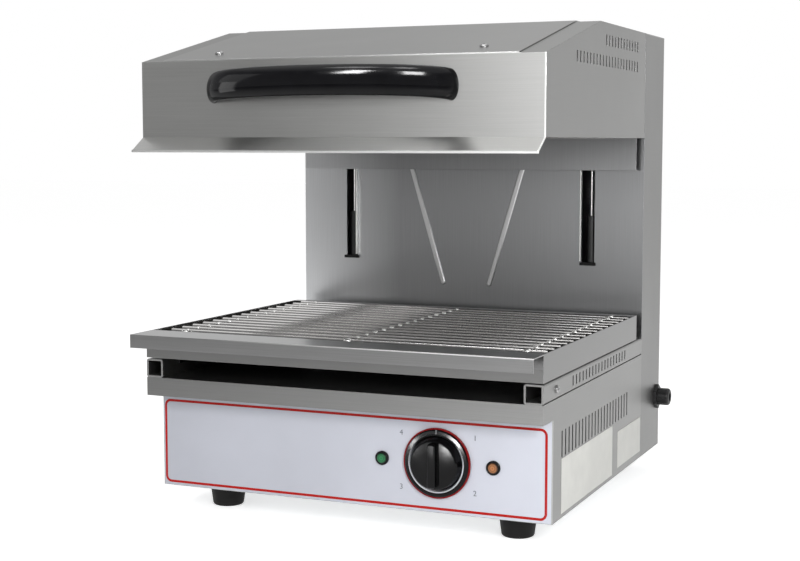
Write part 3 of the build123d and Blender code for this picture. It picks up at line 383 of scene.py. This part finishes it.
def lamp_lens(name, colour, node):
    """Coloured lens whose moulded rings are painted as lighter and darker rings, with painted shade
    towards its rim.
    """
    material, tree, shader = start_material(name, colour, 0.15)
    low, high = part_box(node)
    radius = (high[0] - low[0]) / 2
    offsets = [
        math_node(tree, "SUBTRACT", axis_value(tree, "XYZ"[index]), (low[index] + high[index]) / 2)
        for index in (0, 2)]
    rings = add(tree, "ShaderNodeValToRGB")
    stops = rings.color_ramp.elements
    # painted light and shade in rings across the lens
    for place, shade in painted_lens_rings:
        stops.new(place).color = (*(min(1, shade * c) for c in colour), 1)
    stops[0].color = stops[1].color
    stops[-1].color = stops[-2].color
    tree.links.new(math_node(tree, "DIVIDE", length(tree, *offsets), radius), rings.inputs["Fac"])
    feed(tree, shader, rings.outputs["Color"])
    shader.inputs["Specular IOR Level"].default_value = 0.3
    shader.inputs["Coat Weight"].default_value = 0.15
    shader.inputs["Coat Roughness"].default_value = 0.05
    ripple = noise(tree, ripple_scale, detail=1.0)
    soft_normal(tree, shader, ripple, ripple_depth, lens_edge)
    return material


def frame_line(tree, centre, half):
    """1 on a line along a rounded rectangle in X and Z, 0 elsewhere."""
    past = []
    for axis, middle, reach in zip("XZ", centre, half):
        offset = math_node(tree, "SUBTRACT", axis_value(tree, axis), middle)
        past.append(math_node(tree, "SUBTRACT", math_node(tree, "ABSOLUTE", offset),
                              reach - line_corner - line_inset))
    outside = length(tree, *(math_node(tree, "MAXIMUM", part, 0.0) for part in past))
    inside = math_node(tree, "MINIMUM", math_node(tree, "MAXIMUM", *past), 0.0)
    distance = math_node(tree, "SUBTRACT", math_node(tree, "ADD", outside, inside), line_corner)
    return math_node(tree, "LESS_THAN", math_node(tree, "ABSOLUTE", distance), line_width / 2)


def printed_film(name):
    """Satin label film with a red line round its edge, duller on the line, and painted light
    growing from left to right.
    """
    material, tree, shader = start_material(name, film_white, 0.32)
    dapple = noise(tree, dapple_scale, detail=3.0)
    middle = (label_middle[0] - line_shift, label_middle[1] - line_top_drop / 2)
    half = (label_half[0], label_half[1] - line_top_drop / 2)
    line = frame_line(tree, middle, half)
    # painted light: the label grows lighter from left to right
    across = map_range(tree, axis_value(tree, "X"), label_low[0], label_high[0], *film_painted_light)
    dappled = shades(tree, dapple, film_white, 0.95, 1.04)
    ground = multiply_colours(tree, dappled, grey(tree, across))
    feed(tree, shader, mix_colour(tree, line, ground, film_red))
    tree.links.new(map_range(tree, line, 0.0, 1.0, film_specular, red_specular),
                   shader.inputs["Specular IOR Level"])
    grain = noise(tree, film_scale, detail=1.0)
    soft_normal(tree, shader, grain, film_depth, film_edge)
    return material


def wool_blanket(name):
    """Needled ceramic wool."""
    material, tree, shader = start_material(name, wool_white, 0.95)
    fibres = noise(tree, wool_scale, detail=6.0, roughness=0.7)
    feed(tree, shader, shades(tree, fibres, wool_white, 0.75, 1.1))
    soft_normal(tree, shader, fibres, wool_depth, wool_edge)
    return material


def uneven_sheet(name, colour, roughness, node, left, right, grain="Z", raised_highlights=()):
    """Brushed sheet with a painted sheen that changes from its left edge to its right one.

    Each raised highlight is painted on what stands forward of the sheet: (how far back from the
    node's front it reaches, colour, roughness)."""
    material, tree, shader = start_material(name, colour, roughness, metallic=1.0)
    low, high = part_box(node)
    streaks = noise(tree, brush_scale(grain), detail=2.0)
    sheen = add(tree, "ShaderNodeValToRGB")
    stops = sheen.color_ramp.elements
    stops[0].color = (*(left * c for c in colour), 1)
    stops[1].position = plain_from_left
    stops[1].color = (*colour, 1)
    stops.new(1.0).color = (*(right * c for c in colour), 1)
    tree.links.new(map_range(tree, axis_value(tree, "X"), low[0], high[0]), sheen.inputs["Fac"])
    darker = shades(tree, streaks, (1, 1, 1), 0.92, 1.0)
    paint = multiply_colours(tree, sheen.outputs["Color"], darker)
    gloss = spread(tree, streaks, roughness - 0.02, roughness + 0.02)
    for reach, highlight_colour, highlight_roughness in raised_highlights:
        standing = math_node(tree, "LESS_THAN", axis_value(tree, "Y"), low[1] + reach)
        paint = mix_colour(tree, standing, paint, highlight_colour)
        rest = math_node(tree, "MULTIPLY", gloss, math_node(tree, "SUBTRACT", 1.0, standing))
        gloss = math_node(tree, "ADD", rest, math_node(tree, "MULTIPLY", standing, highlight_roughness))
    feed(tree, shader, paint, gloss)
    soft_normal(tree, shader, streaks, brush_depth, sheet_edge)
    return material


def paint_over(material, low, high, colour, fade=None):
    """Puts a colour over a finish inside a box, growing from 0 to full between two X values."""
    tree = material.node_tree
    target = tree.nodes["Principled BSDF"].inputs["Base Color"]
    below = target.links[0].from_socket
    cover = inside_box(tree, low, high)
    if fade:
        cover = math_node(tree, "MULTIPLY", cover, map_range(tree, axis_value(tree, "X"), *fade))
    tree.links.new(mix_colour(tree, cover, below, colour), target)


def tray_sheet(name):
    """Brushed tray steel; rougher inside the pan, with a dark blotchy colour there that is painted
    shade under the grid.
    """
    material, tree, shader = start_material(name, steel_tray, 0.28, metallic=1.0)
    pan = inside_box(
        tree, (tray_low[0] + pan_wall, tray_low[1] + pan_from_lip, tray_low[2] + pan_wall),
        (tray_high[0] - pan_wall, tray_high[1] - pan_wall, tray_high[2] - pan_rim))
    streaks = noise(tree, brush_scale("X"), detail=2.0)
    stains = noise(tree, pan_scale, detail=4.0)
    outside = shades(tree, streaks, steel_tray, 0.94, 1.05)
    feed(tree, shader, mix_colour(tree, pan, outside, shades(tree, stains, pan_shade, 0.75, 1.25)),
         map_range(tree, pan, 0.0, 1.0, 0.28, 0.60))
    soft_normal(tree, shader, streaks, brush_depth, sheet_edge)
    return material


def rim_finish(name):
    """Polished rim with a painted reflection: bright in its lower half and fading out towards the
    top.
    """
    material, tree, shader = start_material(name, rim_highlight, 0.30, metallic=1.0)
    height = map_range(tree, axis_value(tree, "Z"), knob_z - rim_radius, knob_z + rim_radius)
    fade = add(tree, "ShaderNodeValToRGB")
    stops = fade.color_ramp.elements
    stops[0].position, stops[1].position = rim_fade
    stops[0].color = (*rim_highlight, 1)
    stops[1].color = (*rim_shade, 1)
    tree.links.new(height, fade.inputs["Fac"])
    specks = noise(tree, scratch_scale, detail=1.0)
    feed(tree, shader, fade.outputs["Color"], spread(tree, specks, 0.27, 0.33))
    return material


def grown_box(node):
    """Corners of a solid's box, a margin larger on every side."""
    low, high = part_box(node)
    return [place - margin for place in low], [place + margin for place in high]


# ---- finishes ----
# the steel finishes below are one steel in lighter and darker copies, painted light and shade by
# face
front_steel = brushed_steel("front_steel", steel_front, 0.34, "X")
top_steel = brushed_steel("top_steel", steel_light, 0.34, "X")
side_steel = brushed_steel("side_steel", steel_side, 0.38, "Y")
back_steel = brushed_steel("back_steel", steel_back, 0.30, "Z")
# painted sheen, lighter or darker from left to right, on the back panel, the skirt, the band and
# the hood
slotted_steel = uneven_sheet("slotted_steel", steel_back, 0.30, "back_panel", 2.4, 0.78,
                             raised_highlights=(bead_painted_highlight, slot_lip_painted_highlight))
skirt_steel = uneven_sheet("skirt_steel", steel_skirt, 0.30, "rear_skirt", 2.2, 0.95)
column_steel = brushed_steel("column_steel", steel_column, 0.38, "Y")
band_steel = uneven_sheet("band_steel", steel_band, 0.34, "deck_plate", 0.90, 1.30, grain="X")
tray_steel = tray_sheet("tray_steel")
hood_steel = uneven_sheet("hood_steel", steel_front, 0.34, "hood_front", 1.14, 1.17, grain="X")

# painted shade on the tray's right side and on the wall under its lip, and a painted highlight
# along the fold of the lip's top edge
tray_start, tray_end = grown_box("drip_tray")
tray_inner_x = tray_high[0] - pan_wall
tray_wall_y = tray_low[1] + pan_from_lip
paint_over(tray_steel, (tray_inner_x, tray_wall_y, tray_start[2]), tray_end, tray_side_shade)
paint_over(tray_steel, (tray_start[0], tray_wall_y - 2 * margin, tray_start[2]),
           (tray_inner_x, tray_wall_y, tray_high[2] - wall_below_rim), tray_wall_shade)
paint_over(tray_steel, (tray_start[0], tray_start[1], tray_high[2] - fold_width),
           (tray_end[0], tray_low[1] + fold_width, tray_end[2]), fold_highlight,
           fade=(-fold_reach, knob_x))

# painted highlights on the hem of the hood's lip, the fold between its front and its top, and its
# right edge
hood_start, hood_end = grown_box("hood_front")
top_start, top_end = grown_box("hood_top")
hood_wall_end = (hood_end[0], hood_low[1] + wall_from_lip, hood_end[2])
paint_over(hood_steel, hood_start, (hood_end[0], hood_low[1] + hem_reach, hood_low[2] + hem_height),
           fold_highlight)
for colour, fade in ((fold_soft_highlight, None), (fold_highlight, (0.0, knob_x))):
    paint_over(top_steel, top_start, (top_end[0], top_low[1] + top_edge, top_end[2]), colour, fade)
    paint_over(hood_steel, (hood_start[0], hood_start[1], hood_high[2] - fold_width), hood_wall_end,
               colour, fade)
paint_over(hood_steel, (hood_high[0] - fold_width, hood_start[1], hood_start[2]), hood_wall_end,
           fold_highlight)

wire_metal = drawn_wire("wire_metal", steel_wire, 0.16)
# the weld beads are painted whiter than the wire, a painted highlight
weld_metal = bright_metal("weld_metal", weld_highlight, 0.30)
rod_metal = bright_metal("rod_metal", steel_wire, 0.12)
mirror_steel = bright_metal("mirror_steel", steel_wire, 0.16)
screw_metal = bright_metal("screw_metal", steel_screw, 0.32)
zinc = bright_metal("zinc", zinc_grey, 0.48, low=0.75, high=1.2)
sheath = bright_metal("sheath", sheath_brown, 0.50, low=0.6, high=1.5)
brass = bright_metal("brass", brass_yellow, 0.30)
rubber = moulded("rubber", black_rubber, 0.62, grain=900.0, depth=0.00005, specular=0.25)
gloss_black = moulded("gloss_black", black_plastic, 0.10, depth=0.000002, specular=0.15)
matte_black = moulded("matte_black", black_plastic, 0.45)
rim_reflection_metal = rim_finish("rim_reflection_metal")
red_plastic = moulded("red_plastic", ring_red, 0.22, depth=0.000006, low=0.9, high=1.1,
                      specular=red_specular)
mark_print = moulded("mark_print", mark_grey, 0.35, depth=0.000006, low=0.95, high=1.0)
grey_print = moulded("grey_print", print_grey, 0.40, depth=0.000006)
cream_plate = moulded("cream_plate", plate_cream, 0.50, depth=0.00001, low=0.94, high=1.04)
ceramic = moulded("ceramic", ceramic_white, 0.30, depth=0.00001, low=0.92, high=1.05)
green_glow = lamp_lens("green_glow", lamp_green, "green_lens")
amber_glow = lamp_lens("amber_glow", lamp_amber, "amber_lens")
film = printed_film("film")
wool = wool_blanket("wool")

finishes = (
    (front_steel, ("control_panel",)),
    (hood_steel, ("hood_front",)),
    (band_steel, ("deck_plate",)),
    (top_steel, ("hood_top", "column_cap")),
    (side_steel, ("left_side_panel", "right_side_panel", "left_rail", "right_rail",
                  "hood_left_side", "hood_right_side")),
    (column_steel, ("column_left_side", "column_right_side")),
    (back_steel, ("rear_cover",)),
    (skirt_steel, ("rear_skirt",)),
    (slotted_steel, ("back_panel",)),
    (tray_steel, ("drip_tray",)),
    (wire_metal, ("wire_grid",)),
    (rod_metal, ("guide_rods", "gas_spring_rods")),
    (mirror_steel, ("reflector",)),
    (screw_metal, ("rail_screws", "foot_screws", "foot_nuts", "rear_cover_screws",
                   "hood_top_screws", "handle_screws", "regulator_nut", "regulator_shaft")),
    (zinc, ("base_floor", "rod_brackets", "spring_anchor", "lift_arms", "lift_carriage",
            "element_hangers")),
    (sheath, ("heating_elements",)),
    (brass, ("slide_bushes",)),
    (rubber, ("rubber_feet", "slot_buffers", "gland_seal")),
    (gloss_black, ("control_knob", "bow_handle", "lamp_bezels")),
    (matte_black, ("gas_spring_tubes", "energy_regulator", "lamp_bodies", "gland_body",
                   "gland_dome_nut", "gland_lock_nut", "supply_harness", "tray_runners")),
    (red_plastic, ("knob_ring",)),
    (mark_print, ("knob_mark",)),
    (cream_plate, ("side_labels",)),
    (ceramic, ("terminal_block", "element_ends")),
    (green_glow, ("green_lens",)),
    (amber_glow, ("amber_lens",)),
    (film, ("control_label",)),
    (wool, ("insulation",)),
)


def dress(name, material):
    """Gives a solid's object its finish."""
    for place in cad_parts[name].material_slots:
        place.material = material


for material, names in finishes:
    for name in names:
        dress(name, material)


# ---- piece helpers ----

def make_piece(name, mesh, material, body):
    """Object from mesh data, with its finish, body and material slot."""
    piece = bpy.data.objects.new(name, mesh)
    bpy.context.scene.collection.objects.link(piece)
    mesh.materials.append(material)
    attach(piece, body)
    return piece


def smooth_mesh(shape, name):
    """Mesh data from a bmesh, with smooth shading; the bmesh is freed."""
    mesh = bpy.data.meshes.new(name)
    shape.to_mesh(mesh)
    shape.free()
    for face in mesh.polygons:
        face.use_smooth = True
    return mesh


# ---- dial numbers on the label, and their angles in degrees clockwise from the top ----
digit_size = 0.008
digit_radius = 0.0495
digit_height = 0.0001
dial_angles = (0, 55, 125, 235, 305)


def dial_digit(number, clock_angle):
    """One plain number on the label, at a clock angle round the knob."""
    curve = bpy.data.curves.new(f"dial_{number}", "FONT")
    curve.body = str(number)
    curve.size = digit_size
    curve.align_x = "CENTER"
    curve.align_y = "CENTER"
    curve.extrude = digit_height
    holder = bpy.data.objects.new(f"dial_curve_{number}", curve)
    angle = math.radians(clock_angle)
    x = knob_x + digit_radius * math.sin(angle)
    z = knob_z + digit_radius * math.cos(angle)
    mesh = bpy.data.meshes.new_from_object(holder)
    bpy.data.objects.remove(holder)
    mesh.transform(Matrix.Translation((x, label_y, z)) @ Matrix.Rotation(math.pi / 2, 4, "X"))
    mesh.materials.clear()
    return make_piece(f"dial_{number}", mesh, grey_print, "base")


for number, clock_angle in enumerate(dial_angles):
    dial_digit(number, clock_angle)


# ---- thin bead round the knob's dome, carrying a painted reflection ----

def knob_rim():
    """Bead in the corner between the knob's skirt and its dome, carrying a painted reflection."""
    shape = bmesh.new()
    rings = []
    for turn in range(rim_turns):
        angle = math.tau * turn / rim_turns
        ring = []
        for side in range(rim_sides):
            tilt = math.tau * side / rim_sides
            reach = rim_radius + rim_thickness * math.cos(tilt)
            ring.append(shape.verts.new((knob_x + reach * math.sin(angle),
                                         mark_y - rim_thickness * math.sin(tilt),
                                         knob_z + reach * math.cos(angle))))
        rings.append(ring)
    for turn, ring in enumerate(rings):
        following = rings[(turn + 1) % rim_turns]
        for side in range(rim_sides):
            after = (side + 1) % rim_sides
            shape.faces.new((ring[side], ring[after], following[after], following[side]))
    bmesh.ops.recalc_face_normals(shape, faces=shape.faces)
    return make_piece("knob_rim", smooth_mesh(shape, "knob_rim"), rim_reflection_metal, "knob")


knob_rim()


# ---- weld beads where the grid's bars cross ----
bead_width = 0.0042
bead_length = 0.0027
bead_thickness = 0.0022
bead_sink = 0.0017
end_bead = 0.0040
bead_lean = 0.30
lean_steps = (3.1, 8)
bead_swell = 0.18
swell_steps = (5.3, 2)


def wave(steps, row, side):
    """Value between -1 and 1 that differs from bead to bead."""
    return math.sin(steps[0] * row + steps[1] * side)


def weld_bead(shape, place, width, fineness):
    """One flattened ball."""
    size = Matrix.Diagonal((width, bead_length, bead_thickness, 1))
    bmesh.ops.create_icosphere(shape, subdivisions=fineness, radius=1.0, matrix=place @ size)


def grid_welds():
    """A bead on every crossing, each a little turned and of its own width, and one on the front
    end of each crossbar."""
    shape = bmesh.new()
    z = grid_high[2] - bead_sink
    end_y = grid_low[1] + grid_bar_radius
    for side in (-1, 0, 1):
        x = grid_middle_x + side * grid_crossbar_spread
        weld_bead(shape, Matrix.Translation((x, end_y, z)), end_bead, fineness=3)
        for row in range(grid_bar_count):
            y = end_y + grid_front_overhang + row * grid_bar_pitch
            lean = bead_lean * wave(lean_steps, row, side)
            swell = 1.0 + bead_swell * wave(swell_steps, row, side)
            place = Matrix.Translation((x, y, z)) @ Matrix.Rotation(lean, 4, "Z")
            weld_bead(shape, place, swell * bead_width, fineness=2)
    return make_piece("grid_welds", smooth_mesh(shape, "grid_welds"), weld_metal, "grid")


grid_welds()


# ---- studio ----
floor_half = 12.0
floor_grey = 0.82
floor_front_grey = 0.22
floor_front_y = (-2.6, -1.0)
floor_glow = 0.60
floor_front_glow = 0.95
floor_dark_y = (-1.3, -0.5)
room_light = 0.45
room_front = 0.42
room_ceiling = 0.42
room_overhead = 0.9
backdrop_y = (-0.5, 0.3)
wall_z = (0.1, 0.6)
overhead_z = (0.7, 0.85)
glint_distance = 0.25


def seen_rays(tree):
    """(1 on a camera ray, 1 on a ray off a glossy surface or through a clear one)."""
    path = add(tree, "ShaderNodeLightPath")
    passed_on = math_node(tree, "MAXIMUM", path.outputs["Is Glossy Ray"],
                          path.outputs["Is Transmission Ray"])
    return path.outputs["Is Camera Ray"], passed_on


def studio_floor():
    """Wide pale floor that reads as white and keeps the shadow."""
    shape = bmesh.new()
    bmesh.ops.create_grid(shape, x_segments=1, y_segments=1, size=floor_half)
    mesh = bpy.data.meshes.new("floor")
    shape.to_mesh(mesh)
    shape.free()
    floor = bpy.data.objects.new("floor", mesh)
    bpy.context.scene.collection.objects.link(floor)
    material = bpy.data.materials.new("floor")
    material.use_nodes = True
    tree = material.node_tree
    tree.nodes.clear()
    matte = add(tree, "ShaderNodeBsdfDiffuse")
    place = axis_value(tree, "Y")
    tone = map_range(tree, place, *floor_front_y, floor_front_grey, floor_grey)
    tree.links.new(grey(tree, tone), matte.inputs["Color"])
    glow = add(tree, "ShaderNodeEmission")
    camera_ray, passed_on = seen_rays(tree)
    near = map_range(tree, place, *floor_dark_y)
    direct = math_node(tree, "MULTIPLY", camera_ray,
                       map_range(tree, place, *floor_front_y, floor_front_glow, floor_glow))
    mirrored = math_node(tree, "MULTIPLY", passed_on, near)
    reflected = math_node(tree, "MULTIPLY", mirrored, floor_glow)
    tree.links.new(math_node(tree, "MAXIMUM", direct, reflected), glow.inputs["Strength"])
    both = add(tree, "ShaderNodeAddShader")
    out = add(tree, "ShaderNodeOutputMaterial")
    tree.links.new(matte.outputs["BSDF"], both.inputs[0])
    tree.links.new(glow.outputs["Emission"], both.inputs[1])
    tree.links.new(both.outputs["Shader"], out.inputs["Surface"])
    mesh.materials.append(material)


def studio_world():
    """Room that the metal mirrors: white behind the object, greyer above and in front. The camera
    sees white all round."""
    world = bpy.data.worlds.new("studio")
    bpy.context.scene.world = world
    world.use_nodes = True
    tree = world.node_tree
    background = tree.nodes["Background"]
    background.inputs["Color"].default_value = (1, 1, 1, 1)
    place = add(tree, "ShaderNodeTexCoord")
    split = add(tree, "ShaderNodeSeparateXYZ")
    tree.links.new(place.outputs["Generated"], split.inputs["Vector"])
    backdrop = map_range(tree, split.outputs["Y"], *backdrop_y, room_front, 1.0)
    wall = map_range(tree, split.outputs["Z"], *wall_z, 1.0, room_ceiling)
    overhead = map_range(tree, split.outputs["Z"], *overhead_z, 0.0, room_overhead)
    room = math_node(tree, "ADD", math_node(tree, "MULTIPLY", backdrop, wall), overhead)
    camera_ray, passed_on = seen_rays(tree)
    lit = map_range(tree, passed_on, 0.0, 1.0, room_light, 1.0)
    even = math_node(tree, "SUBTRACT", 1.0, passed_on)
    level = math_node(tree, "MULTIPLY", lit, math_node(tree, "MAXIMUM", room, even))
    tree.links.new(math_node(tree, "MAXIMUM", level, camera_ray), background.inputs["Strength"])


def direction(azimuth, elevation):
    """Unit vector at an azimuth, 0 in front and growing to the right, and an elevation. Degrees."""
    turn, rise = math.radians(azimuth), math.radians(elevation)
    level = math.cos(rise)
    return Vector((level * math.sin(turn), -level * math.cos(turn), math.sin(rise)))


def softbox(name, place, target, width, height, power):
    """Rectangular lamp aimed at a point."""
    lamp = bpy.data.lights.new(name, "AREA")
    lamp.shape = "RECTANGLE"
    lamp.size = width
    lamp.size_y = height
    lamp.energy = power
    holder = bpy.data.objects.new(name, lamp)
    holder.location = place
    aim = Vector(target) - Vector(place)
    holder.rotation_euler = aim.to_track_quat("-Z", "Y").to_euler()
    holder.visible_camera = False
    bpy.context.scene.collection.objects.link(holder)


def reflector(name, azimuth, elevation, distance, width, height, power):
    """Softbox that lights only the handle, placed by its angles from it."""
    handle = (Vector(handle_low) + Vector(handle_high)) / 2
    softbox(name, handle + distance * direction(azimuth, elevation), handle, width, height, power)
    bpy.data.objects[name].light_linking.receiver_collection = lit_handle


def glint(name, clock_angle, radius, size, power):
    """Small softbox for the knob alone, where the camera sees its mirror image at one place of the
    knob's skirt."""
    angle = math.radians(clock_angle)
    place = Vector((knob_x + radius * math.sin(angle), mark_y, knob_z + radius * math.cos(angle)))
    ray = (place - Vector(camera_place)).normalized()
    ray.y = -ray.y
    softbox(name, place + glint_distance * ray, place, size, size, power)
    bpy.data.objects[name].light_linking.receiver_collection = lit_knob


def photo_camera():
    """Camera at the photograph's place."""
    back = direction(camera_azimuth, camera_elevation)
    data = bpy.data.cameras.new("camera")
    data.sensor_fit = "HORIZONTAL"
    data.sensor_width = sensor_width
    data.lens = camera_lens
    camera = bpy.data.objects.new("camera", data)
    camera.location = camera_place
    camera.rotation_euler = (-back).to_track_quat("-Z", "Y").to_euler()
    bpy.context.scene.collection.objects.link(camera)
    bpy.context.scene.camera = camera


studio_floor()
studio_world()
lit_handle = bpy.data.collections.new("lit_handle")
lit_handle.objects.link(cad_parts["bow_handle"])
lit_knob = bpy.data.collections.new("lit_knob")
lit_knob.objects.link(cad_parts["control_knob"])
middle = (0.0, 0.0, 0.28)
softbox("key", (0.95, -1.20, 0.62), (0.15, -0.2, 0.25), 0.4, 0.4, 12)
softbox("front", (-0.05, -2.70, 0.75), middle, 1.2, 2.2, 18)
softbox("fill", (-2.2, -1.2, 1.6), middle, 1.0, 1.0, 3.5)
softbox("top_left", (-0.60, -0.75, 2.3), middle, 0.35, 0.35, 4)
softbox("top_right", (-0.05, -0.75, 2.3), middle, 0.35, 0.35, 5)
softbox("rear", (-0.2, 1.6, 2.6), middle, 1.2, 1.2, 5)

# the handle and the knob have reflectors of their own; the key and the front lamp leave them out
reflector("streak_left", azimuth=-22.0, elevation=44.5, distance=2.0,
          width=0.24, height=0.50, power=34.0)
reflector("streak_right", azimuth=14.0, elevation=44.5, distance=2.0,
          width=0.50, height=0.45, power=46.0)
reflector("streak_end", azimuth=-64.0, elevation=0.0, distance=1.5,
          width=0.40, height=0.80, power=3.4)
glint("glint_left", clock_angle=-52, radius=0.0315, size=0.008, power=0.03)
glint("glint_right", clock_angle=42, radius=0.0315, size=0.014, power=0.09)
unlit = bpy.data.collections.new("unlit")
for name in ("bow_handle", "control_knob"):
    unlit.objects.link(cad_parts[name])
for member in unlit.collection_objects:
    member.light_linking.link_state = "EXCLUDE"
for name in ("key", "front"):
    bpy.data.objects[name].light_linking.receiver_collection = unlit
photo_camera()
bpy.context.scene.view_settings.view_transform = "Standard"
